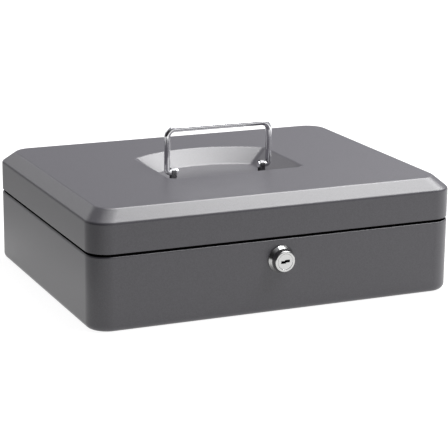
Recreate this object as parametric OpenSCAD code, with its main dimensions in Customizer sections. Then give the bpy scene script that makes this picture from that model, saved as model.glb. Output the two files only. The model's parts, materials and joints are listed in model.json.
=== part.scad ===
// Lockable sheet-steel cash and document box: a deep-drawn tub with a hinged lid, a recessed wire
// carrying handle, a cylinder cam lock and a lift-out compartment tray.
// The frame: X is the width, Y runs from the lock (front, -Y) to the hinges (back, +Y), Z is up, and
// the origin is on the tub's flat underside, at the middle of the box.

/* [Box] */
// Outside width of the tub and the lid
box_w = 300; // [260:1:340]
// Outside depth of the tub and the lid, without the hinge knuckles
box_d = 234; // [215:1:270]
// Height of the tub from its underside to its shoulder
tub_h = 57.3; // [54:0.1:80]
// Height of the lid from its lower edge to its top
lid_h = 31.7; // [30:0.1:36]
// Shadow gap between the tub's shoulder and the lid
seam_gap = 2; // [1.8:0.1:2.2]
// Thickness of the sheet steel
sheet = 1; // [0.8:0.1:1.1]
// Outside radius of the upright corners
corner_r = 17; // [15:0.5:22]
// Corner radius of the lid's flat top
top_corner_r = 15; // [10:0.5:18]
// Width of the lid's sloping edge, seen from above
slope_in = 9.5; // [7:0.1:11]
// Height of the lid's sloping edge
slope_drop = 8.8; // [7:0.1:10]
// Radius where the tub's wall turns into its bottom
bottom_r = 5; // [3:0.5:8]
// Height of the rim that rises inside the lid
rim_h = 6.5; // [4:0.5:8]

/* [Handle and its recess] */
// Outside width of the wire handle
handle_w = 93.4; // [88:0.2:94]
// Height of the handle above its pivot, to the top of the bar
handle_h = 37.2; // [34:0.1:38]
// Diameter of the handle's wire
wire_d = 5; // [4:0.1:5.2]
// Half width of the recess at the lid's top
pan_half_w = 58; // [56:0.5:62]
// Depth of the recess
pan_depth = 12; // [11:0.1:12.5]
// How far the recess's walls run inward on their way down
pan_run = 15; // [12:0.5:16]

/* [Lock] */
// Height of the lock's axis above the tub's underside
lock_up = 41.7; // [40:0.1:42]
// How far the chromed bezel stands out of the front
bezel_out = 8; // [5:0.5:10]
// Radius of the bezel where it meets the front
bezel_base_r = 10.7; // [9.5:0.1:12]
// Radius of the bezel's face
bezel_face_r = 8; // [7:0.1:8.5]

/* [Tray] */
// Height of the tray's underside above the tub's underside
tray_up = 28; // [20:0.5:30]
// Height of the tray
tray_h = 28.5; // [20:0.5:28.5]
// Number of coin wells in the front row
coin_wells = 5; // [3:2:7]
// Number of note compartments in the back row
note_wells = 2; // [2:1:3]

/* [Hidden] */
$fn = 48;
eps = 0.01;
past = 1;                                   // how far a cut runs past the face that it opens

paint = "dimgray";
chrome = "gainsboro";
zinc = "silver";
brass = "khaki";

half_w = box_w / 2;
half_d = box_d / 2;
shoulder_z = tub_h;                         // top of the tub's outer wall
lid_z = shoulder_z + seam_gap;              // lower edge of the lid
top_z = lid_z + lid_h;                      // flat top of the lid
slope_z = top_z - slope_drop;               // where the lid's wall turns into its slope
shoulder_r = 1;
rim_in = 2.4;                               // outer face of the rim, in from the tub's wall
rim_top_z = shoulder_z + rim_h;

// Hinges. The axis lies just inside the back faces, so the open lid's back wall stops just above
// the tub's shoulder, a little past 100 degrees.
hinge_in = 1.6;
hinge_y = half_d - hinge_in;
hinge_z = shoulder_z + 1.8;
hinge_x = 90;
hinge_len = 40;
pin_r = 1.2;
pin_bore_r = 1.25;
knuckle_r = 2.25;
knuckle_gap = 0.3;
knuckles = 5;
knuckle_len = hinge_len / knuckles;
knuckle_clear = 0.6;                        // from a knuckle to the sheet that is notched round it
leaf_t = 1;
leaf_h = 18;
leaf_y = half_d - sheet - leaf_t;           // inner face of the leaves
rivet_r = 1.5;
rivet_hole_r = 1.55;
rivet_head_r = 2.7;
rivet_head_h = 0.8;
rivets_per_leaf = 3;
rivet_pitch = 13;
rivet_off = 11.5;                           // rivet row from the hinge axis

// Handle recess.
pan_front_y = -37;
pan_side_y = 38.5;                          // where the back arc meets the sides
pan_back_y = 57.5;                          // the back arc's furthest point
pan_floor_z = top_z - pan_depth;
pan_corner_r = 5;

// Handle.
wire_r = wire_d / 2;
pivot_z = top_z - 4.6;
pivot_y = 1;
side_play = 0.9;                            // free room between a bracket and the handle's bend
fitting_x = -1;                             // middle of the two brackets
handle_x = -0.6;                            // the handle's place in its side play
leg_x = handle_w / 2 - wire_r;
bar_z = pivot_z + handle_h - wire_r;
bar_bend_r = 6.5;
foot_bend_r = 2.8;
bracket_w = 3.6;
bracket_bore_r = wire_r + 0.05;
bracket_t = 0.8;
bracket_x = leg_x - foot_bend_r - side_play - bracket_w;    // inner face of the right-hand bracket
pin_end_x = bracket_x - 1.5;
clinch_len = 3;

// Lock. It is drawn about its own axis, which points inward from the front face of the tub.
lock_z = lock_up;
barrel_r = 8;
barrel_len = 14;
plug_r = 6;
plug_bore_r = 6.06;
plug_tail = 6;                              // side of the square tail that drives the cam
cam_t = 1.8;
cam_clear = 0.1;
cam_arm_w = 6.4;
hook_in_r = 13.4;
hook_out_r = 17;
hook_span = 50;
keyway_w = 7.2;
keyway_h = 2.8;
keyway_deep = 16.5;
wafers = 5;
wafer_pitch = 2.6;
wafer_first = -4.2;                         // first wafer's middle, from the tub's front face
wafer_t = 1;
wafer_l = 9.4;
wafer_h = 6;
spring_r = 0.45;
spring_bore_r = 0.25;
spring_l = 2.4;
spring_z = wafer_h / 2 + 0.1 + spring_r;    // the wafers' springs, above the wafers
nut_af = 21;
nut_t = 3;
washer_t = 0.8;
screw_r = 1.5;
screw_head_r = 4.4;
screw_head_h = 2.2;
screw_len = 7;

// Keeper on the lid, which the lock's hook catches.
strike_w = 28;
strike_t = 1.2;
strike_y = -half_d + 12;                    // front face of the hanging plate
strike_shelf_z = rim_top_z + 3.5;
strike_flange_h = 10;
lip_x = -8;
lip_w = 4;
lip_top = 10.5;                             // above the lock's axis
lip_t = 1.2;
lip_len = 5.7;

// Tray.
tray_gap = 9.6;                             // from the tray to the tub's wall, for fingers
tray_half_w = half_w - sheet - tray_gap;
tray_half_d = half_d - sheet - tray_gap;
tray_r = corner_r - sheet - tray_gap;
tray_wall = 1.6;
tray_z = tray_up;
notch_half_w = 22;
notch_y = -half_d + 22.6;                   // the tray's front wall behind the lock
tray_split_y = -8;                          // middle of the wall between the two rows
divider_drop = 3;                           // from the tray's rim down to its dividers
tray_in_w = tray_half_w - tray_wall;
tray_in_d = tray_half_d - tray_wall;
ledge_w = 15;
ledge_h = 12;
ledge_len = 180;

// ---------- helpers ----------

// Points of an arc from angle a0 to a1.
function arc(cx, cy, r, a0, a1, n = 6) =
    [for (i = [0:n]) [cx + r * cos(a0 + (a1 - a0) * i / n), cy + r * sin(a0 + (a1 - a0) * i / n)]];

// A rectangle with round corners, centred, from its half sizes.
module round_rect(hw, hd, r) {
    union() {
        square([2 * hw, 2 * (hd - r)], center = true);
        square([2 * (hw - r), 2 * hd], center = true);
        for (sx = [-1, 1], sy = [-1, 1])
            translate([sx * (hw - r), sy * (hd - r)]) circle(r);
    }
}

// Carries a wall section round the box's outline. The section's x is the distance inward from the
// outer face, and its y is the height.
module round_the_box(section) {
    corner = [for (p = section) [corner_r - p[0], p[1]]];
    for (i = [0:3])
        rotate(90 * i) {
            across = i % 2 == 0 ? half_w : half_d;
            along = (i % 2 == 0 ? half_d : half_w) - corner_r;
            translate([across - corner_r, along, 0]) rotate_extrude(angle = 90) polygon(corner);
            translate([across - corner_r, along, 0]) rotate([90, 0, 0])
                linear_extrude(2 * along) polygon(corner);
        }
}

// A cylinder along Y, from y0 to y1.
module along_y(r, y0, y1) {
    translate([0, y1, 0]) rotate([90, 0, 0]) cylinder(r = r, h = y1 - y0);
}

// ---------- tub ----------

function tub_section() = let (t = sheet, up = shoulder_z) concat(
    [[bottom_r, 0]],
    [for (p = arc(bottom_r, bottom_r, bottom_r, 270, 180)) p],
    [for (p = arc(shoulder_r, up - shoulder_r, shoulder_r, 180, 90, 3)) p],
    [[rim_in, up], [rim_in, rim_top_z], [rim_in + t, rim_top_z], [rim_in + t, up - t], [t, up - t]],
    [for (p = arc(bottom_r, bottom_r, bottom_r - t, 180, 270)) p]);

module hinge_notches(z0, z1) {
    for (sx = [-1, 1])
        translate([sx * hinge_x - hinge_len / 2 - knuckle_clear - 1, half_d - 6, z0])
            cube([hinge_len + 2 * (knuckle_clear + 1), 6 + past, z1 - z0]);
}

// Rivet places of both hinges, on the row at height z.
module at_rivets(z) {
    for (sx = [-1, 1], i = [0:rivets_per_leaf - 1])
        translate([sx * hinge_x + (i - (rivets_per_leaf - 1) / 2) * rivet_pitch, 0, z])
            children();
}

module body_shell() {
    color(paint) difference() {
        union() {
            round_the_box(tub_section());
            translate([0, 0, 0]) linear_extrude(sheet)
                round_rect(half_w - bottom_r, half_d - bottom_r, corner_r - bottom_r);
        }
        translate([0, 0, lock_z]) along_y(barrel_r + 0.1, -half_d - past, -half_d + sheet + past);
        hinge_notches(hinge_z - knuckle_r - knuckle_clear, rim_top_z + past);
        at_rivets(hinge_z - rivet_off) along_y(rivet_hole_r, half_d - sheet - past, half_d + past);
    }
}

module tray_ledge(side) {
    wall_x = half_w - sheet;
    color(paint) mirror([side < 0 ? 1 : 0, 0, 0]) {
        translate([wall_x - ledge_w, -ledge_len / 2, tray_z - sheet])
            cube([ledge_w, ledge_len, sheet]);
        translate([wall_x - sheet, -ledge_len / 2, tray_z - ledge_h])
            cube([sheet, ledge_len, ledge_h]);
    }
}

// ---------- hinges ----------

// One leaf about the hinge axis, with the plate hanging down (way -1) or standing up (way 1).
// The tub's leaf has the knuckles of even number and the lid's leaf those of odd number.
module hinge_leaf(side, way) {
    first = way < 0 ? 0 : 1;
    plate_from = knuckle_r + knuckle_clear;
    color(zinc) translate([side * hinge_x, 0, 0]) difference() {
        union() {
            translate([-hinge_len / 2, leaf_y, way < 0 ? hinge_z - leaf_h : hinge_z + plate_from])
                cube([hinge_len, leaf_t, leaf_h - plate_from]);
            for (k = [first:2:knuckles - 1])
                translate([-hinge_len / 2 + k * knuckle_len + knuckle_gap / 2, 0, 0]) {
                    translate([0, hinge_y, hinge_z]) rotate([0, 90, 0])
                        cylinder(r = knuckle_r, h = knuckle_len - knuckle_gap);
                    translate([0, leaf_y, way < 0 ? hinge_z - plate_from - past : hinge_z])
                        cube([knuckle_len - knuckle_gap, leaf_t, plate_from + past]);
                }
        }
        translate([-hinge_len, hinge_y, hinge_z]) rotate([0, 90, 0])
            cylinder(r = pin_bore_r, h = 2 * hinge_len);
        for (i = [0:rivets_per_leaf - 1])
            translate([(i - (rivets_per_leaf - 1) / 2) * rivet_pitch, 0, hinge_z + way * rivet_off])
                along_y(rivet_hole_r, leaf_y - past, leaf_y + leaf_t + past);
    }
}

module hinge_pin(side) {
    head_t = 0.7;
    head_r = 1.9;
    color(chrome) translate([side * hinge_x, hinge_y, hinge_z]) rotate([0, 90, 0]) {
        translate([0, 0, -hinge_len / 2]) cylinder(r = pin_r, h = hinge_len);
        for (end = [-1, 1])
            translate([0, 0, end * (hinge_len - knuckle_gap + head_t) / 2])
                cylinder(r = head_r, h = head_t, center = true);
    }
}

// A rivet through the wall and the leaf, with a low head at each end.
module rivets(z) {
    color(zinc) at_rivets(z) {
        along_y(rivet_r, leaf_y - eps, half_d + eps);
        along_y(rivet_head_r, half_d, half_d + rivet_head_h);
        along_y(rivet_head_r, leaf_y - rivet_head_h, leaf_y);
    }
}

// ---------- lid ----------

// The lid's outer form, taken in by t on every side and open below.
module lid_form(t) {
    turn = 0.41 * t;                        // keeps the slope's own thickness
    low = t > 0 ? lid_z - past : lid_z;
    translate([0, 0, low]) linear_extrude(slope_z - turn - low)
        round_rect(half_w - t, half_d - t, corner_r - t);
    hull() {
        translate([0, 0, slope_z - turn - eps]) linear_extrude(eps)
            round_rect(half_w - t, half_d - t, corner_r - t);
        translate([0, 0, top_z - t - eps]) linear_extrude(eps)
            round_rect(half_w - slope_in - turn, half_d - slope_in - turn, top_corner_r - turn);
    }
}

// The recess's outline, taken in by d: straight front and sides, and an arc at the back.
function pan_outline(d) = let (
        hw = pan_half_w - d,
        rise = pan_back_y - pan_side_y,
        full_r = (pan_half_w * pan_half_w + rise * rise) / (2 * rise),
        r = full_r - d,
        cy = pan_back_y - full_r,
        a = asin(hw / r)) concat(
    [[hw, pan_front_y + d]],
    arc(0, cy, r, 90 - a, 90 + a, 20),
    [[-hw, pan_front_y + d]]);

module pan_plan(d) {
    offset(r = pan_corner_r) offset(delta = -pan_corner_r) polygon(pan_outline(d));
}

// The recess's form. out moves its faces outward, below and at the sides, by the sheet's thickness.
module pan_form(out) {
    hull() {
        translate([0, 0, top_z - sheet * (out > 0 ? 1 : 0)]) linear_extrude(out > 0 ? sheet : past)
            pan_plan(-out);
        translate([0, 0, pan_floor_z - out]) linear_extrude(eps) pan_plan(pan_run);
    }
}

module bracket_slots() {
    for (sx = [-1, 1], sy = [-1, 1])
        translate([fitting_x + sx * (bracket_x + bracket_w / 2),
                pivot_y + sy * (bracket_bore_r + bracket_t / 2), pan_floor_z - sheet / 2])
            cube([bracket_w + 0.2, bracket_t + 0.2, 4 * sheet], center = true);
}

module lid_shell() {
    color(paint) difference() {
        union() {
            difference() {
                lid_form(0);
                lid_form(sheet);
            }
            pan_form(sheet);
        }
        pan_form(0);
        bracket_slots();
        hinge_notches(lid_z - past, hinge_z + knuckle_r + knuckle_clear);
        at_rivets(hinge_z + rivet_off) along_y(rivet_hole_r, half_d - sheet - past, half_d + past);
    }
}

// A strap over the handle's end, through two slots of the floor and clinched below it.
module handle_bracket(side) {
    leg_out = bracket_bore_r + bracket_t;
    foot_z = pan_floor_z - sheet - bracket_t;
    color(chrome) translate([fitting_x, pivot_y, 0]) mirror([side < 0 ? 1 : 0, 0, 0])
        translate([bracket_x, 0, 0]) difference() {
            union() {
                translate([0, 0, pivot_z]) rotate([0, 90, 0]) cylinder(r = leg_out, h = bracket_w);
                translate([0, -leg_out, foot_z]) cube([bracket_w, 2 * leg_out, pivot_z - foot_z]);
                translate([0, -leg_out - clinch_len, foot_z])
                    cube([bracket_w, 2 * (leg_out + clinch_len), bracket_t]);
            }
            translate([-past, 0, pivot_z]) rotate([0, 90, 0])
                cylinder(r = bracket_bore_r, h = bracket_w + 2 * past);
            translate([-past, -bracket_bore_r, foot_z - past])
                cube([bracket_w + 2 * past, 2 * bracket_bore_r, pivot_z - foot_z + past]);
        }
}

// The keeper: a flange on the lid's front wall, a shelf over the rim, and a hanging plate whose lip
// lies under the lock's hook.
module lid_strike() {
    wall_y = -half_d + sheet;
    lip_z = lock_z + lip_top - lip_t;
    color(zinc) union() {
        translate([-strike_w / 2, wall_y, strike_shelf_z])
            cube([strike_w, strike_t, strike_flange_h]);
        translate([-strike_w / 2, wall_y, strike_shelf_z])
            cube([strike_w, strike_y + strike_t - wall_y, strike_t]);
        translate([-strike_w / 2, strike_y, strike_shelf_z - 6]) cube([strike_w, strike_t, 6]);
        translate([lip_x - 3, strike_y, lip_z])
            cube([lip_w + 5, strike_t, strike_shelf_z - lip_z]);
        translate([lip_x, strike_y, lip_z]) cube([lip_w, lip_len, lip_t]);
    }
}

// ---------- handle ----------

// A quarter turn of the wire: centre, bend radius, and the angle it starts at, in the XZ plane.
module wire_bend(x, z, r, from) {
    translate([x, pivot_y, z]) rotate([90, 0, 0]) rotate(from)
        rotate_extrude(angle = 90) translate([r, 0]) circle(wire_r);
}

module carry_handle() {
    bend_z = bar_z - bar_bend_r;
    foot_z = pivot_z + foot_bend_r;
    color(chrome) translate([handle_x, 0, 0]) union() {
        translate([0, pivot_y, bar_z]) rotate([0, 90, 0])
            cylinder(r = wire_r, h = 2 * (leg_x - bar_bend_r), center = true);
        for (side = [0, 1]) mirror([side, 0, 0]) {
            wire_bend(leg_x - bar_bend_r, bend_z, bar_bend_r, 0);
            translate([leg_x, pivot_y, foot_z]) cylinder(r = wire_r, h = bend_z - foot_z);
            wire_bend(leg_x - foot_bend_r, foot_z, foot_bend_r, 270);
            translate([pin_end_x, pivot_y, pivot_z]) rotate([0, 90, 0])
                cylinder(r = wire_r, h = leg_x - foot_bend_r - pin_end_x);
        }
    }
}

// ---------- lock ----------

module on_lock() {
    translate([0, -half_d, lock_z]) children();
}

module lock_housing() {
    edge = 0.6;                             // rounding of the bezel's rim, drawn as a flat
    color(chrome) on_lock() rotate([90, 0, 0]) difference() {
        rotate_extrude() polygon([[0, -barrel_len], [barrel_r, -barrel_len], [barrel_r, 0],
            [bezel_base_r, 0], [bezel_base_r, edge], [bezel_face_r, bezel_out - edge],
            [bezel_face_r - edge, bezel_out], [0, bezel_out]]);
        translate([0, 0, -barrel_len - past])
            cylinder(r = plug_bore_r, h = barrel_len + bezel_out + 2 * past);
    }
}

module lock_nut() {
    color(zinc) on_lock() difference() {
        translate([0, sheet + washer_t + nut_t, 0]) rotate([90, 30, 0])
            cylinder(r = nut_af / 2 / cos(30), h = nut_t, $fn = 6);
        along_y(barrel_r + 0.05, -past, barrel_len);
    }
}

module lock_washer() {
    color(zinc) on_lock() difference() {
        along_y(nut_af / 2 + 1.2, sheet, sheet + washer_t);
        along_y(barrel_r + 0.05, -past, barrel_len);
    }
}

// The keyhole: a slot with a step, as cut for a warded blade.
module keyway() {
    translate([0, -bezel_out - past, 0]) {
        for (step = [[-0.5, -0.5], [-0.05, -0.25]])
            translate([step[0] * keyway_w, 0, step[1] * keyway_h])
                cube([keyway_w * 0.55, keyway_deep, keyway_h * 0.75]);
    }
}

module at_wafers() {
    for (i = [0:wafers - 1]) translate([0, wafer_first + i * wafer_pitch, 0]) children();
}

module lock_plug() {
    tail_end = barrel_len + cam_clear + cam_t;
    slot_clear = 0.1;
    color(chrome) on_lock() difference() {
        union() {
            along_y(plug_r, -bezel_out + 0.1, barrel_len);
            translate([-plug_tail / 2, barrel_len - past, -plug_tail / 2])
                cube([plug_tail, tail_end - barrel_len + past, plug_tail]);
        }
        keyway();
        at_wafers() cube([wafer_l + 2 * slot_clear, wafer_t + 2 * slot_clear,
            wafer_h + 2 * slot_clear], center = true);
        at_wafers() translate([0, 0, spring_z])
            cube([spring_l + 2 * slot_clear, 2 * (spring_r + slot_clear),
                2 * (spring_r + slot_clear)], center = true);
        along_y(screw_r, tail_end - screw_len, tail_end + past);
    }
}

// Five flat wafers with a window for the key's blade.
module lock_wafers() {
    color(brass) on_lock() at_wafers() difference() {
        cube([wafer_l, wafer_t, wafer_h], center = true);
        cube([keyway_w + 0.2, wafer_t + past, keyway_h + 0.8], center = true);
    }
}

// One spring beside each wafer's window, in a corner of its slot.
module wafer_springs() {
    color(zinc) on_lock() at_wafers() translate([0, 0, spring_z]) rotate([0, 90, 0])
        difference() {
            cylinder(r = spring_r, h = spring_l, center = true);
            cylinder(r = spring_bore_r, h = spring_l + past, center = true);
        }
}

// The hooked cam. At rest its arm points to +X, clear of the keeper, so the lid is unlocked.
module lock_cam() {
    hub_r = 6.5;
    arm_reach = hook_in_r + 1;
    color(zinc) on_lock() translate([0, barrel_len + cam_clear + cam_t, 0]) rotate([90, 0, 0])
        linear_extrude(cam_t) difference() {
            union() {
                circle(hub_r);
                translate([0, -cam_arm_w / 2]) square([arm_reach, cam_arm_w]);
                polygon(concat(arc(0, 0, hook_out_r, -10, hook_span, 12),
                    arc(0, 0, hook_in_r, hook_span, -10, 12)));
            }
            square(plug_tail + 0.1, center = true);
        }
}

module cam_screw() {
    head_y = barrel_len + cam_clear + cam_t;
    color(zinc) on_lock() difference() {
        union() {
            along_y(screw_r - 0.05, head_y - screw_len + 0.5, head_y + eps);
            along_y(screw_head_r, head_y, head_y + screw_head_h);
        }
        for (a = [0, 90]) rotate([0, a, 0]) translate([0, head_y + screw_head_h, 0])
            cube([4.4, 2, 0.8], center = true);
    }
}

// ---------- tray ----------

// The tray's outline with its notch round the lock, taken in by t.
module tray_outline(t) {
    notch_w = notch_half_w + t;
    difference() {
        round_rect(tray_half_w - t, tray_half_d - t, tray_r - t);
        translate([-notch_w, -tray_half_d - past])
            square([2 * notch_w, notch_y + t + tray_half_d + past]);
    }
}

module coin_tray() {
    color("darkslategray") difference() {
        translate([0, 0, tray_z]) linear_extrude(tray_h) tray_outline(0);
        translate([0, 0, tray_z + tray_wall]) linear_extrude(tray_h) tray_outline(tray_wall);
    }
}

// An upright plate on the tray's floor.
module divider(x0, x1, y0, y1) {
    color("darkslategray") translate([x0, y0, tray_z + tray_wall])
        cube([x1 - x0, y1 - y0, tray_h - tray_wall - divider_drop]);
}

module tray_cross_wall() {
    divider(-tray_in_w, tray_in_w, tray_split_y - tray_wall / 2, tray_split_y + tray_wall / 2);
}

// The inner pair of dividers carries on the walls of the notch; the others share the rest evenly.
module coin_dividers() {
    first = notch_half_w + tray_wall;
    sides = (coin_wells - 1) / 2;
    pitch = (tray_in_w - first + tray_wall) / sides;
    for (side = [0, 1]) mirror([side, 0, 0]) {
        for (i = [0:sides - 1]) {
            x0 = notch_half_w + i * pitch;
            divider(x0, x0 + tray_wall, i == 0 ? notch_y + tray_wall : -tray_in_d,
                tray_split_y - tray_wall / 2);
        }
    }
}

module note_dividers() {
    for (i = [1:note_wells - 1]) {
        x = -tray_in_w + 2 * tray_in_w * i / note_wells;
        divider(x - tray_wall / 2, x + tray_wall / 2, tray_split_y + tray_wall / 2, tray_in_d);
    }
}

// ---------- choice of node ----------

body_shell();
tray_ledge(-1);  // left_tray_ledge
tray_ledge(1);  // right_tray_ledge
hinge_leaf(-1, -1);  // left_hinge_body_leaf
hinge_leaf(1, -1);  // right_hinge_body_leaf
hinge_pin(-1);  // left_hinge_pin
hinge_pin(1);  // right_hinge_pin
rivets(hinge_z - rivet_off);  // body_hinge_rivets
lock_housing();
lock_nut();
lock_washer();
lid_shell();
handle_bracket(-1);  // left_handle_bracket
handle_bracket(1);  // right_handle_bracket
lid_strike();
hinge_leaf(-1, 1);  // left_hinge_lid_leaf
hinge_leaf(1, 1);  // right_hinge_lid_leaf
rivets(hinge_z + rivet_off);  // lid_hinge_rivets
carry_handle();
lock_plug();
lock_cam();
cam_screw();
lock_wafers();
wafer_springs();
coin_tray();
tray_cross_wall();
coin_dividers();
note_dividers();
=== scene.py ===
"""Looks of a lockable sheet-steel cash box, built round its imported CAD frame. Lengths are metres.

The two drawn shells, the wire handle and the lock's bezel are rebuilt here as smooth meshes of the same
size as their CAD nodes. Every other CAD node keeps its mesh and gets a material and fine rounded edges.
"""

import json
import math

import bmesh
import bpy
from mathutils import Matrix, Quaternion, Vector


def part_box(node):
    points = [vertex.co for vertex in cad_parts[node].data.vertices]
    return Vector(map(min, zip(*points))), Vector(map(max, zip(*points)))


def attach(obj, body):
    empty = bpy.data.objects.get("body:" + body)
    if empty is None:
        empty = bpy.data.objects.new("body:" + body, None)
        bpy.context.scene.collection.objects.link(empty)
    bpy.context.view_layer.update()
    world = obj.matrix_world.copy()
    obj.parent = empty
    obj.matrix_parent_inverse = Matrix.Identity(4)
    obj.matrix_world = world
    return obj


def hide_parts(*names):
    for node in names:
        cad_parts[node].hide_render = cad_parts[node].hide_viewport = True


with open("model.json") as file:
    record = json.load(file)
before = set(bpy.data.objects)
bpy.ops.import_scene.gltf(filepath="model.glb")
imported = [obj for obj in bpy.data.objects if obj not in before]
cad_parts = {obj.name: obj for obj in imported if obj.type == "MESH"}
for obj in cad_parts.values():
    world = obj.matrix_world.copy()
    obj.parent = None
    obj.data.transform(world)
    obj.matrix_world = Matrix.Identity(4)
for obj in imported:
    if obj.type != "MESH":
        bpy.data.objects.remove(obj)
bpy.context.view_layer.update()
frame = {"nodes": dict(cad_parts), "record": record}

MM = 0.001
SHEET = 1.0 * MM                      # thickness of the sheet steel
CORNER_R = 17 * MM                    # outside radius of the upright corners
SEAM_GAP = 2 * MM                     # height of the gap between tub and lid, whose band is painted black as painted shade
CORNER_STEPS = 20
SIDE_STEPS = 6
SHARP_EDGE = math.radians(35)         # edges above this angle stay sharp in smooth shading
BEVELLED_EDGE = math.radians(30)      # edges above this angle are rounded on the CAD nodes

tub_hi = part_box("body_shell")[1]
lid_lo, lid_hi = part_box("lid_shell")
handle_lo, handle_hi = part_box("carry_handle")
lock_lo, lock_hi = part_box("lock_housing")
plug_lo, plug_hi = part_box("lock_plug")
LOCK_MID = (lock_lo + lock_hi) / 2
HALF_W = tub_hi.x
HALF_D = tub_hi.y
SHOULDER_Z = lid_lo.z - SEAM_GAP
JOINTS = {joint["name"]: joint for joint in frame["record"]["behaviour"]["joints"]}


# ---------- mesh helpers ----------

def arc(cx, cy, r, start, end, steps):
    """Points of an arc in the plane, angles in degrees."""
    turns = [math.radians(start + (end - start) * i / steps) for i in range(steps + 1)]
    return [(cx + r * math.cos(t), cy + r * math.sin(t)) for t in turns]


def fillet(points, radii, steps=8):
    """A polyline whose inner points are rounded by radii, one radius for each inner point."""
    out = [points[0]]
    for before, at, after, r in zip(points, points[1:], points[2:], radii):
        p, a, b = Vector(at), Vector(before), Vector(after)
        u, v = (a - p).normalized(), (b - p).normalized()
        half = math.acos(max(-1.0, min(1.0, u.dot(v)))) / 2
        reach = r / math.tan(half)
        centre = p + (u + v).normalized() * (r / math.sin(half))
        first, last = p + u * reach - centre, p + v * reach - centre
        turn = first.angle_signed(last)
        for i in range(steps + 1):
            c, s = math.cos(-turn * i / steps), math.sin(-turn * i / steps)
            out.append((centre.x + c * first.x - s * first.y, centre.y + s * first.x + c * first.y))
    out.append(points[-1])
    return out


def box_ring(inset, z, r):
    """A rectangle with round corners, inset from the box's outer wall."""
    hw, hd = HALF_W - inset, HALF_D - inset
    bends = [arc(sx * (hw - r), sy * (hd - r), r, start, start + 90, CORNER_STEPS)
             for sx, sy, start in ((1, -1, -90), (1, 1, 0), (-1, 1, 90), (-1, -1, 180))]
    ring = []
    for bend, following in zip(bends, bends[1:] + bends[:1]):
        first, last = Vector(bend[-1]), Vector(following[0])
        ring += bend + [tuple(first.lerp(last, i / SIDE_STEPS)) for i in range(1, SIDE_STEPS)]
    return [(x, y, z) for x, y in ring]


def loft(bm, rings):
    """Quads between rings of equal length; returns the rings' vertices."""
    made = [[bm.verts.new(p) for p in ring] for ring in rings]
    for low, high in zip(made, made[1:]):
        n = len(low)
        for i in range(n):
            bm.faces.new((low[i], low[(i + 1) % n], high[(i + 1) % n], high[i]))
    return made


def piece(name, bm, body, stands_for, material):
    """Turns a bmesh into a piece that stands for a CAD node and rides on its body."""
    bmesh.ops.recalc_face_normals(bm, faces=bm.faces)
    mesh = bpy.data.meshes.new(name)
    bm.to_mesh(mesh)
    bm.free()
    obj = bpy.data.objects.new(name, mesh)
    bpy.context.scene.collection.objects.link(obj)
    mesh.materials.append(material)
    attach(obj, body)
    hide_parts(stands_for)
    return obj


def smooth(obj):
    """Smooth shading that keeps real edges sharp and large flats flat."""
    for face in obj.data.polygons:
        face.use_smooth = True
    obj.data.set_sharp_from_angle(angle=SHARP_EDGE)
    obj.modifiers.new("flat_flats", "WEIGHTED_NORMAL").keep_sharp = True


def soften(obj, width):
    """Fine rounded edges on a CAD node, with the flats left flat."""
    bevel = obj.modifiers.new("fine_edges", "BEVEL")
    bevel.width = width
    bevel.segments = 2
    bevel.limit_method = "ANGLE"
    bevel.angle_limit = BEVELLED_EDGE
    obj.modifiers.new("flat_flats", "WEIGHTED_NORMAL").keep_sharp = False


def cutter(bm):
    """A plain object that a cut uses up."""
    mesh = bpy.data.meshes.new("cutter")
    bm.to_mesh(mesh)
    bm.free()
    obj = bpy.data.objects.new("cutter", mesh)
    bpy.context.scene.collection.objects.link(obj)
    return obj


def block(lo, hi):
    """A box-shaped cutter between two corners."""
    bm = bmesh.new()
    bmesh.ops.create_cube(bm, size=1)
    lo, hi = Vector(lo), Vector(hi)
    for v in bm.verts:
        v.co = Vector([lo[k] + (v.co[k] + 0.5) * (hi[k] - lo[k]) for k in range(3)])
    return cutter(bm)


def rod(centre, r, length):
    """A round cutter about a centre, lying along Y."""
    bm = bmesh.new()
    bmesh.ops.create_cone(bm, cap_ends=True, segments=64, radius1=r, radius2=r, depth=length)
    turn = Vector((0, 0, 1)).rotation_difference(Vector((0, 1, 0))).to_matrix().to_4x4()
    bmesh.ops.transform(bm, matrix=Matrix.Translation(centre) @ turn, verts=bm.verts)
    return cutter(bm)


def cut(obj, cutters):
    """Takes the cutters' shapes out of obj for good, and removes the cutters."""
    for tool in cutters:
        boolean = obj.modifiers.new("cut", "BOOLEAN")
        boolean.operation = "DIFFERENCE"
        boolean.solver = "EXACT"
        boolean.object = tool
    shape = bpy.data.meshes.new_from_object(obj.evaluated_get(bpy.context.evaluated_depsgraph_get()))
    obj.modifiers.clear()
    obj.data = shape
    for tool in cutters:
        bpy.data.objects.remove(tool)


# ---------- materials ----------

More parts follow.
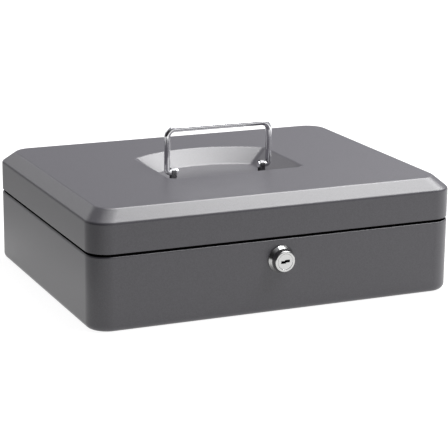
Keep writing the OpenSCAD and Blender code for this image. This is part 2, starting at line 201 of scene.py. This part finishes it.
class Nodes:
    """Short calls for a material's node tree."""

    def __init__(self, name):
        self.material = bpy.data.materials.new(name)
        self.material.use_nodes = True
        self.tree = self.material.node_tree
        self.shader = self.tree.nodes["Principled BSDF"]
        self.place = self.add("ShaderNodeTexCoord").outputs["Object"]

    def add(self, kind, **values):
        node = self.tree.nodes.new(kind)
        for key, value in values.items():
            setattr(node, key, value)
        return node

    def link(self, out, into):
        self.tree.links.new(out, into)

    def noise(self, scale, detail=2.0, rough=0.5, stretch=None):
        """Smooth noise about the object's own place, from 0 to 1."""
        node = self.add("ShaderNodeTexNoise")
        node.inputs["Scale"].default_value = scale
        node.inputs["Detail"].default_value = detail
        node.inputs["Roughness"].default_value = rough
        place = self.place
        if stretch:
            mapping = self.add("ShaderNodeMapping")
            mapping.inputs["Scale"].default_value = stretch
            self.link(place, mapping.inputs["Vector"])
            place = mapping.outputs["Vector"]
        self.link(place, node.inputs["Vector"])
        return node.outputs["Fac"]

    def range(self, value, low, high, to_low, to_high):
        """A value's span from low to high, as the span from to_low to to_high."""
        node = self.add("ShaderNodeMapRange")
        for key, number in (("From Min", low), ("From Max", high), ("To Min", to_low), ("To Max", to_high)):
            node.inputs[key].default_value = number
        self.link(value, node.inputs["Value"])
        return node.outputs["Result"]

    def along(self, direction):
        """How far a point of the object lies in a direction."""
        node = self.add("ShaderNodeVectorMath", operation="DOT_PRODUCT")
        node.inputs[1].default_value = direction
        self.link(self.place, node.inputs[0])
        return node.outputs["Value"]

    def band(self, height, low, high, blur):
        """1 between two heights and 0 elsewhere, with soft ends."""
        node = self.add("ShaderNodeMath", operation="MULTIPLY")
        self.link(self.range(height, low - blur, low, 0, 1), node.inputs[0])
        self.link(self.range(height, high, high + blur, 1, 0), node.inputs[1])
        return node.outputs["Value"]

    def mix(self, factor, a, b):
        """From colour a to colour b."""
        node = self.add("ShaderNodeMix", data_type="RGBA")
        self.link(factor, node.inputs["Factor"])
        for socket, colour in ((node.inputs["A"], a), (node.inputs["B"], b)):
            if isinstance(colour, tuple):
                socket.default_value = (*colour, 1)
            else:
                self.link(colour, socket)
        return next(o for o in node.outputs if o.type == "RGBA")

    def bump(self, height, distance, under=None):
        """Relief of a height, over another relief if one is given."""
        node = self.add("ShaderNodeBump")
        node.inputs["Distance"].default_value = distance
        node.inputs["Strength"].default_value = 1.0
        self.link(height, node.inputs["Height"])
        if under is not None:
            self.link(under, node.inputs["Normal"])
        return node.outputs["Normal"]

    def set(self, **values):
        """Numbers, colours or outputs into the shader's sockets of those names."""
        for key, value in values.items():
            socket = self.shader.inputs[key.replace("_", " ")]
            if isinstance(value, (int, float)):
                socket.default_value = value
            elif isinstance(value, tuple):
                socket.default_value = (*value, 1)
            else:
                self.link(value, socket)


def powder_paint():
    """Dark grey satin powder coat: a fine grain in colour, gloss and relief, and painted shade: a black,
    unreflective band in the seam gap between tub and lid, where the real paint is the same grey.
    """
    n = Nodes("powder_paint")
    grain = n.noise(1500, 3)
    speckle = n.mix(n.range(grain, 0.35, 0.65, 0, 1), (0.034, 0.032, 0.038), (0.048, 0.046, 0.053))
    peel = n.bump(n.noise(700, 2), 0.02 * MM)
    # painted shade: the seam gap's band is painted black and given no reflection
    painted_seam_shade = n.band(n.along((0, 0, 1)), SHOULDER_Z, lid_lo.z - 0.1 * MM, 0.1 * MM)
    n.set(Base_Color=n.mix(painted_seam_shade, speckle, (0.003, 0.003, 0.003)),
          Specular_IOR_Level=n.range(painted_seam_shade, 0, 1, 0.5, 0),
          Roughness=n.range(n.noise(900, 3), 0.3, 0.7, 0.33, 0.37),
          IOR=1.6, Normal=n.bump(grain, 0.03 * MM, peel))
    return n.material


def plated(name, dark, light, gloss):
    """Plate with faint polishing haze, between two tones of its metal; a lower gloss value shines more."""
    n = Nodes(name)
    n.set(Base_Color=n.mix(n.range(n.noise(90, 3), 0.3, 0.7, 0, 1), dark, light),
          Metallic=1.0, Roughness=n.range(n.noise(500, 2), 0.3, 0.7, gloss, gloss + 0.05),
          Normal=n.bump(n.noise(60, 2), 0.02 * MM))
    return n.material


def plug_nickel():
    """The plug's bright nickel face, and painted shade from just behind the face: black, non-metallic and
    unreflective, so that the keyway reads black.
    """
    n = Nodes("plug_nickel")
    # painted shade: everything behind the face is painted black with no reflection, standing in for the
    # keyway's shade
    painted_keyway_shade = n.range(n.along((0, 1, 0)), plug_lo.y + 0.15 * MM, plug_lo.y + 0.3 * MM, 0, 1)
    n.set(Base_Color=n.mix(painted_keyway_shade, (0.47, 0.47, 0.465), (0.004, 0.004, 0.004)),
          Metallic=n.range(painted_keyway_shade, 0, 1, 1, 0), Specular_IOR_Level=n.range(painted_keyway_shade, 0, 1, 0.5, 0),
          Roughness=n.range(n.noise(500, 2), 0.3, 0.7, 0.14, 0.19),
          Normal=n.bump(n.noise(60, 2), 0.02 * MM))
    return n.material


def zinc_plate():
    """Dull zinc plate with a soft spangle and drawn streaks."""
    n = Nodes("zinc_plate")
    spangle = n.noise(260, 4)
    streak = n.noise(60, 3, 0.6, (1, 1, 30))
    n.set(Base_Color=n.mix(n.range(spangle, 0.35, 0.65, 0, 1), (0.43, 0.44, 0.46), (0.6, 0.6, 0.61)),
          Metallic=1.0, Roughness=n.range(streak, 0.3, 0.7, 0.28, 0.45),
          Normal=n.bump(spangle, 0.03 * MM))
    return n.material


def stamped_brass():
    """Brass with an even, slightly mottled tarnish."""
    n = Nodes("stamped_brass")
    tarnish = n.noise(700, 3)
    n.set(Base_Color=n.mix(n.range(tarnish, 0.35, 0.65, 0, 1), (0.52, 0.36, 0.13), (0.72, 0.55, 0.25)),
          Metallic=1.0, Roughness=n.range(tarnish, 0.3, 0.7, 0.25, 0.4),
          Normal=n.bump(n.noise(1800, 2), 0.01 * MM))
    return n.material


def moulded_plastic():
    """Black moulded plastic with a fine leather-like grain."""
    n = Nodes("moulded_plastic")
    cells = n.add("ShaderNodeTexVoronoi", feature="SMOOTH_F1")
    cells.inputs["Scale"].default_value = 900
    n.link(n.place, cells.inputs["Vector"])
    dust = n.noise(25, 4)
    n.set(Base_Color=n.mix(n.range(dust, 0.35, 0.75, 0, 1), (0.012, 0.012, 0.013), (0.022, 0.022, 0.024)),
          Roughness=n.range(n.noise(500, 3), 0.3, 0.7, 0.42, 0.55),
          Normal=n.bump(cells.outputs["Distance"], 0.06 * MM))
    return n.material


PAINT = powder_paint()
CHROME = plated("bright_chrome", (0.8, 0.8, 0.82), (0.86, 0.86, 0.87), 0.1)
NICKEL = plated("lock_nickel", (0.45, 0.45, 0.45), (0.5, 0.5, 0.49), 0.14)
PLUG = plug_nickel()
STRAP = plated("strap_plate", (0.12, 0.12, 0.125), (0.18, 0.18, 0.185), 0.26)
ZINC = zinc_plate()
BRASS = stamped_brass()
PLASTIC = moulded_plastic()


# ---------- tub ----------

RIM_IN = 2.4 * MM                     # how far the rim is set in from the wall
BOTTOM_R = 5 * MM
LOCK_HOLE_R = 8.1 * MM
HINGE_Z = JOINTS["lid_hinge"]["pos_m"][2]
KNUCKLE_ROOM = 2.85 * MM              # from the hinge axis to the sheet's notches
NOTCH_HALF = 21.6 * MM
pin_lo, pin_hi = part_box("left_hinge_pin")
LEAF_X = (pin_lo.x + pin_hi.x) / 2


def notch_blocks(z0, z1):
    """Cutters for the two notches in a back wall that the hinge knuckles turn in."""
    y0, y1 = HALF_D - 6 * MM, HALF_D + 2 * MM
    return [block((x - NOTCH_HALF, y0, z0), (x + NOTCH_HALF, y1, z1)) for x in (LEAF_X, -LEAF_X)]


def make_tub():
    """The drawn tub: outer bottom, wall, rounded shoulder, set-in rim, and the inside again."""
    t, rim, flat = SHEET, RIM_IN, BOTTOM_R + 3 * MM
    outline = [
        (flat, 0.0), (0.0, 0.0), (0.0, SHOULDER_Z), (rim, SHOULDER_Z), (rim, tub_hi.z),
        (rim + t, tub_hi.z), (rim + t, SHOULDER_Z - t), (t, SHOULDER_Z - t), (t, t), (flat, t)]
    radii = [BOTTOM_R, 1.2 * MM, 0.6 * MM, 0.45 * MM, 0.45 * MM, 0.4 * MM, 0.3 * MM, BOTTOM_R - t]
    bm = bmesh.new()
    rings = loft(bm, [box_ring(d, z, CORNER_R - d) for d, z in fillet(outline, radii)])
    bm.faces.new(rings[0])
    bm.faces.new(rings[-1])
    tub = piece("drawn_tub", bm, "box", "body_shell", PAINT)
    hole = rod((LOCK_MID.x, -HALF_D, LOCK_MID.z), LOCK_HOLE_R, 8 * MM)
    cut(tub, [*notch_blocks(HINGE_Z - KNUCKLE_ROOM, tub_hi.z + MM), hole])
    smooth(tub)


# ---------- lid ----------

SLOPE_IN = 9.5 * MM                   # the sloping edge's width, seen from above
SLOPE_DROP = 8.8 * MM
TOP_CORNER_R = 15 * MM
PAN_FRONT = -37 * MM                  # the handle recess, on the lid's top
PAN_SIDE = 38.5 * MM                  # where its straight sides meet the arc
PAN_BACK = 57.5 * MM
PAN_HALF_W = 58 * MM
PAN_RUN = 15 * MM                     # its sloping walls' width, seen from above
PAN_DEPTH = 12 * MM
PAN_CORNER_R = 6 * MM


def pan_ring(d, z):
    """The handle recess's outline, inset by d: straight front and sides, and an arc at the back."""
    rise = PAN_BACK - PAN_SIDE
    big = (PAN_HALF_W ** 2 + rise ** 2) / (2 * rise)
    cy = PAN_BACK - big
    hw, r, rc = PAN_HALF_W - d, big - d, PAN_CORNER_R
    fx, fy = hw - rc, PAN_FRONT + d + rc
    by = cy + math.sqrt((r - rc) ** 2 - fx ** 2)
    lean = math.degrees(math.atan2(by - cy, fx))
    front = [(-fx + 2 * fx * i / 12, PAN_FRONT + d) for i in range(1, 12)]
    right = [(hw, fy + (by - fy) * i / 10) for i in range(1, 10)]
    left = [(-x, y) for x, y in reversed(right)]
    ring = front + arc(fx, fy, rc, -90, 0, 8) + right + arc(fx, by, rc, 0, lean, 8)[:-1]
    ring += arc(0, cy, r, lean, 180 - lean, 32)
    ring += arc(-fx, by, rc, 180 - lean, 180, 8)[1:] + left + arc(-fx, fy, rc, 180, 270, 8)
    return [(x, y, z) for x, y in ring]


def fill_between(bm, outer, inner):
    """A flat face between two rings of vertices, as triangles."""
    edges = [bm.edges.get((a, b)) for ring in (outer, inner) for a, b in zip(ring, ring[1:] + ring[:1])]
    bmesh.ops.triangle_fill(bm, use_beauty=True, edges=edges)


def make_lid():
    """The drawn lid as a closed sheet: inside, lower edge and outside, with the recess in the top."""
    t, low, top, floor = SHEET, lid_lo.z, lid_hi.z, lid_hi.z - PAN_DEPTH
    slope_z, flat_in = top - SLOPE_DROP, SLOPE_IN + 6 * MM
    miter = math.tan(math.atan2(SLOPE_DROP, SLOPE_IN) / 2) * t
    pan_miter = math.tan(math.atan2(PAN_DEPTH, PAN_RUN) / 2) * t

    def corner(d):
        return CORNER_R + (TOP_CORNER_R - CORNER_R) * min(d / SLOPE_IN, 1)

    inside = fillet([(flat_in, top - t), (SLOPE_IN + miter, top - t), (t, slope_z - miter), (t, low),
                     (t / 2, low)], [2 * MM, 2.5 * MM, 0.35 * MM])
    outside = fillet([(t / 2, low), (0, low), (0, slope_z), (SLOPE_IN, top), (flat_in, top)],
                     [0.35 * MM, 3 * MM, 2.5 * MM])
    above = fillet([(-4 * MM, top), (0, top), (PAN_RUN, floor), (PAN_RUN + 7 * MM, floor)],
                   [4 * MM, 6 * MM], 10)
    below = fillet([(-4 * MM, top - t), (-pan_miter, top - t), (PAN_RUN - pan_miter, floor - t),
                    (PAN_RUN + 7 * MM, floor - t)], [3 * MM, 7 * MM], 10)
    bm = bmesh.new()
    wall = loft(bm, [box_ring(d, z, corner(d) - t) for d, z in inside[:-1]]
                + [box_ring(d, z, corner(d)) for d, z in outside[1:]])
    dish = loft(bm, [pan_ring(d, z) for d, z in above])
    under = loft(bm, [pan_ring(d, z) for d, z in below])
    bm.faces.new(dish[-1])
    bm.faces.new(under[-1])
    fill_between(bm, wall[-1], dish[0])
    fill_between(bm, wall[0], under[0])
    lid = piece("drawn_lid", bm, "lid", "lid_shell", PAINT)
    cut(lid, notch_blocks(lid_lo.z - MM, HINGE_Z + KNUCKLE_ROOM))
    smooth(lid)


# ---------- handle ----------

FOOT_REACH = 8.8 * MM                 # from a leg's axis to the end of its in-turned foot
FOOT_BEND_R = 2.8 * MM
GRIP_BEND_R = 6.5 * MM
WIRE_SIDES = 40


def make_handle():
    """The wire bail: one smooth sweep with two wide bends above and two tight ones at its feet."""
    r = (handle_hi.y - handle_lo.y) / 2
    y = (handle_hi.y + handle_lo.y) / 2
    z_foot = handle_lo.z + r
    z_bar = handle_hi.z - r
    x_mid = (handle_lo.x + handle_hi.x) / 2
    leg = (handle_hi.x - handle_lo.x) / 2 - r
    end = leg - FOOT_REACH
    path = fillet([(-end, z_foot), (-leg, z_foot), (-leg, z_bar), (leg, z_bar), (leg, z_foot), (end, z_foot)],
                  [FOOT_BEND_R, GRIP_BEND_R, GRIP_BEND_R, FOOT_BEND_R], 14)
    turns = [2 * math.pi * k / WIRE_SIDES for k in range(WIRE_SIDES)]
    across = Vector((0, 1, 0))
    rings = []
    for i, (px, pz) in enumerate(path):
        before, after = path[max(i - 1, 0)], path[min(i + 1, len(path) - 1)]
        along = Vector((after[0] - before[0], 0, after[1] - before[1])).normalized()
        side = along.cross(across)
        centre = Vector((x_mid + px, y, pz))
        rings.append([centre + (side * math.cos(t) + across * math.sin(t)) * r for t in turns])
    bm = bmesh.new()
    made = loft(bm, rings)
    bm.faces.new(made[0])
    bm.faces.new(made[-1])
    smooth(piece("wire_handle", bm, "handle", "carry_handle", CHROME))


# ---------- lock ----------

FRONT = -HALF_D
BEZEL_OUT = FRONT - lock_lo.y         # how far the bezel stands out of the front wall
BEZEL_BASE_R = 10.7 * MM
BEZEL_WAIST_R, BEZEL_WAIST_OUT = 8.9 * MM, 3.6 * MM
BEZEL_FACE_R = 8 * MM
BARREL_R = 8 * MM
PLUG_GAP = 0.06 * MM
LATHE_STEPS = 96


def lathe(profile):
    """A closed ring about the lock's axis, from points of (radius, distance out of the front face)."""
    turns = [2 * math.pi * k / LATHE_STEPS for k in range(LATHE_STEPS)]
    bm = bmesh.new()
    loft(bm, [[(LOCK_MID.x + r * math.cos(t), FRONT - out, LOCK_MID.z + r * math.sin(t)) for t in turns]
              for r, out in profile + profile[:1]])
    bmesh.ops.remove_doubles(bm, verts=bm.verts, dist=1e-7)
    return bm


def make_bezel():
    """The plated barrel and bezel round the plug's bore; the bezel flares towards the wall."""
    bore = (plug_hi.x - plug_lo.x) / 2 + PLUG_GAP
    back = FRONT - lock_hi.y
    profile = fillet(
        [(bore, back), (BARREL_R, back), (BARREL_R, 0), (BEZEL_BASE_R, 0), (BEZEL_BASE_R, 0.9 * MM),
         (BEZEL_WAIST_R, BEZEL_WAIST_OUT), (BEZEL_FACE_R, BEZEL_OUT), (bore, BEZEL_OUT), (bore, back)],
        [0.3 * MM, 0.01 * MM, 0.01 * MM, 0.3 * MM, 1.9 * MM, 0.9 * MM, 0.35 * MM], 6)
    smooth(piece("lock_bezel", lathe(profile[:-1]), "box", "lock_housing", NICKEL))


# ---------- CAD nodes that keep their mesh ----------

# Each node's material, and the width of its rounded edges in millimetres.
KEPT = {
    "left_tray_ledge": (PAINT, 0.3), "right_tray_ledge": (PAINT, 0.3),
    "left_hinge_body_leaf": (ZINC, 0.12), "right_hinge_body_leaf": (ZINC, 0.12),
    "left_hinge_lid_leaf": (ZINC, 0.12), "right_hinge_lid_leaf": (ZINC, 0.12),
    "left_hinge_pin": (ZINC, 0.15), "right_hinge_pin": (ZINC, 0.15),
    "body_hinge_rivets": (ZINC, 0.3), "lid_hinge_rivets": (ZINC, 0.3),
    "lock_nut": (ZINC, 0.25), "lock_washer": (ZINC, 0.15), "lock_plug": (PLUG, 0.1),
    "left_handle_bracket": (STRAP, 0.2), "right_handle_bracket": (STRAP, 0.2),
    "lid_strike": (ZINC, 0.25), "lock_cam": (ZINC, 0.2), "cam_screw": (ZINC, 0.2),
    "lock_wafers": (BRASS, 0.05), "wafer_springs": (ZINC, 0.03),
    "coin_tray": (PLASTIC, 0.5), "tray_cross_wall": (PLASTIC, 0.4),
    "coin_dividers": (PLASTIC, 0.4), "note_dividers": (PLASTIC, 0.4),
}


def dress_kept_nodes():
    """Material, joined flats and rounded edges for each node of KEPT."""
    for name, (material, edge) in KEPT.items():
        node = frame["nodes"][name]
        node.data.materials.clear()
        node.data.materials.append(material)
        flats = node.modifiers.new("join_flats", "DECIMATE")
        flats.decimate_type = "DISSOLVE"
        flats.angle_limit = math.radians(0.5)
        soften(node, edge * MM)


# ---------- stage, light and camera ----------

FLOOR_HALF = 6
FLOOR_Z = -0.2 * MM                   # just under the box's flat underside
FLOOR_GLOW, FLOOR_GLOW_LEFT = 0.93, 0.4
PICTURE_LEFT = (-0.966, 0.288, 0.0)   # away from the picture's left edge
PICTURE_LEFT_FROM, PICTURE_LEFT_TO = 0.19, 0.26


def make_floor():
    """A plain pale floor, dimmer beyond the picture's left edge, where the box's left wall mirrors it."""
    bm = bmesh.new()
    bmesh.ops.create_grid(bm, x_segments=1, y_segments=1, size=FLOOR_HALF)
    mesh = bpy.data.meshes.new("floor")
    bm.to_mesh(mesh)
    bm.free()
    floor = bpy.data.objects.new("floor", mesh)
    floor.location.z = FLOOR_Z
    bpy.context.scene.collection.objects.link(floor)
    n = Nodes("pale_floor")
    glow = n.range(n.along(PICTURE_LEFT), PICTURE_LEFT_FROM, PICTURE_LEFT_TO, FLOOR_GLOW, FLOOR_GLOW_LEFT)
    n.set(Base_Color=n.mix(n.noise(3, 3), (0.15, 0.15, 0.15), (0.17, 0.17, 0.17)), Roughness=0.9,
          Emission_Color=(1.0, 1.0, 1.0), Emission_Strength=glow)
    mesh.materials.append(n.material)


def softbox(name, place, aim, width, height, watts, turn=0.0):
    """A rectangular area light aimed at a point, turned about its own axis in degrees."""
    data = bpy.data.lights.new(name, "AREA")
    data.shape = "RECTANGLE"
    data.size, data.size_y, data.energy = width, height, watts
    light = bpy.data.objects.new(name, data)
    light.location = place
    light.rotation_mode = "QUATERNION"
    spin = Quaternion((0, 0, 1), math.radians(turn))
    light.rotation_quaternion = (Vector(aim) - Vector(place)).to_track_quat("-Z", "Y") @ spin
    bpy.context.scene.collection.objects.link(light)


def hang_softbox(name, place, width, height, watts, turn=0.0):
    """A softbox that hangs and shines straight down."""
    softbox(name, place, (place[0], place[1], 0), width, height, watts, turn)


def make_light():
    """A large softbox over the box's right, a small one before it, and a weak one at the back left."""
    hang_softbox("overhead", (0.8, 0.12, 1.2), 1.5, 1.5, 60, 40)
    hang_softbox("overhead_right", (0.72, -0.42, 1.2), 0.8, 0.6, 14)
    softbox("left_back", (-0.6, 1.6, 0.85), (0, 0, 0.05), 1.0, 0.6, 2.4)


ROOM_TINT = (0.985, 0.985, 1.03, 1)
ROOM_BRIGHT, ROOM_DARK = 0.46, 0.03
DARK_SIDE = (-0.86, -0.5, 0.0)
DARK_FROM, DARK_TO = 0.1, 0.8         # cosines of the angle to the dark side


def make_world():
    """Even white studio light, with the dark side of the room on the camera's left."""
    world = bpy.data.worlds.new("studio")
    world.use_nodes = True
    tree = world.node_tree
    direction = tree.nodes.new("ShaderNodeTexCoord").outputs["Generated"]
    toward = tree.nodes.new("ShaderNodeVectorMath")
    toward.operation = "DOT_PRODUCT"
    toward.inputs[1].default_value = Vector(DARK_SIDE).normalized()
    tree.links.new(direction, toward.inputs[0])
    fade = tree.nodes.new("ShaderNodeMapRange")
    fade.interpolation_type = "SMOOTHSTEP"
    for key, value in (("From Min", DARK_FROM), ("From Max", DARK_TO),
                       ("To Min", ROOM_BRIGHT), ("To Max", ROOM_DARK)):
        fade.inputs[key].default_value = value
    tree.links.new(toward.outputs["Value"], fade.inputs["Value"])
    background = tree.nodes["Background"]
    background.inputs["Color"].default_value = ROOM_TINT
    tree.links.new(fade.outputs["Result"], background.inputs["Strength"])
    bpy.context.scene.world = world


AZIMUTH, ELEVATION, ROLL = math.radians(-24.05), math.radians(15.32), math.radians(0.61)
DISTANCE = 1.4406
TARGET = Vector((0.0109, 0, 0.0288))
LENS_MM, SENSOR_MM = 142.2, 36
SHIFT = (-0.0158, 0.0267)


def make_camera():
    """A long lens from the front left, a little above the box, aimed by angle and distance."""
    back = Vector((math.sin(AZIMUTH) * math.cos(ELEVATION), -math.cos(AZIMUTH) * math.cos(ELEVATION),
                   math.sin(ELEVATION)))
    right = (-back).cross(Vector((0, 0, 1))).normalized()
    up = right.cross(-back)
    tilted_right = right * math.cos(ROLL) + up * math.sin(ROLL)
    tilted_up = up * math.cos(ROLL) - right * math.sin(ROLL)
    data = bpy.data.cameras.new("camera")
    data.lens, data.sensor_width = LENS_MM, SENSOR_MM
    data.shift_x, data.shift_y = SHIFT
    data.clip_end = 50
    camera = bpy.data.objects.new("camera", data)
    turn = Matrix((tilted_right, tilted_up, back)).transposed().to_4x4()
    camera.matrix_world = Matrix.Translation(TARGET + back * DISTANCE) @ turn
    bpy.context.scene.collection.objects.link(camera)
    bpy.context.scene.camera = camera


make_camera()
make_tub()
make_lid()
make_handle()
make_bezel()
dress_kept_nodes()
make_floor()
make_light()
make_world()
bpy.context.scene.view_settings.view_transform = "Standard"
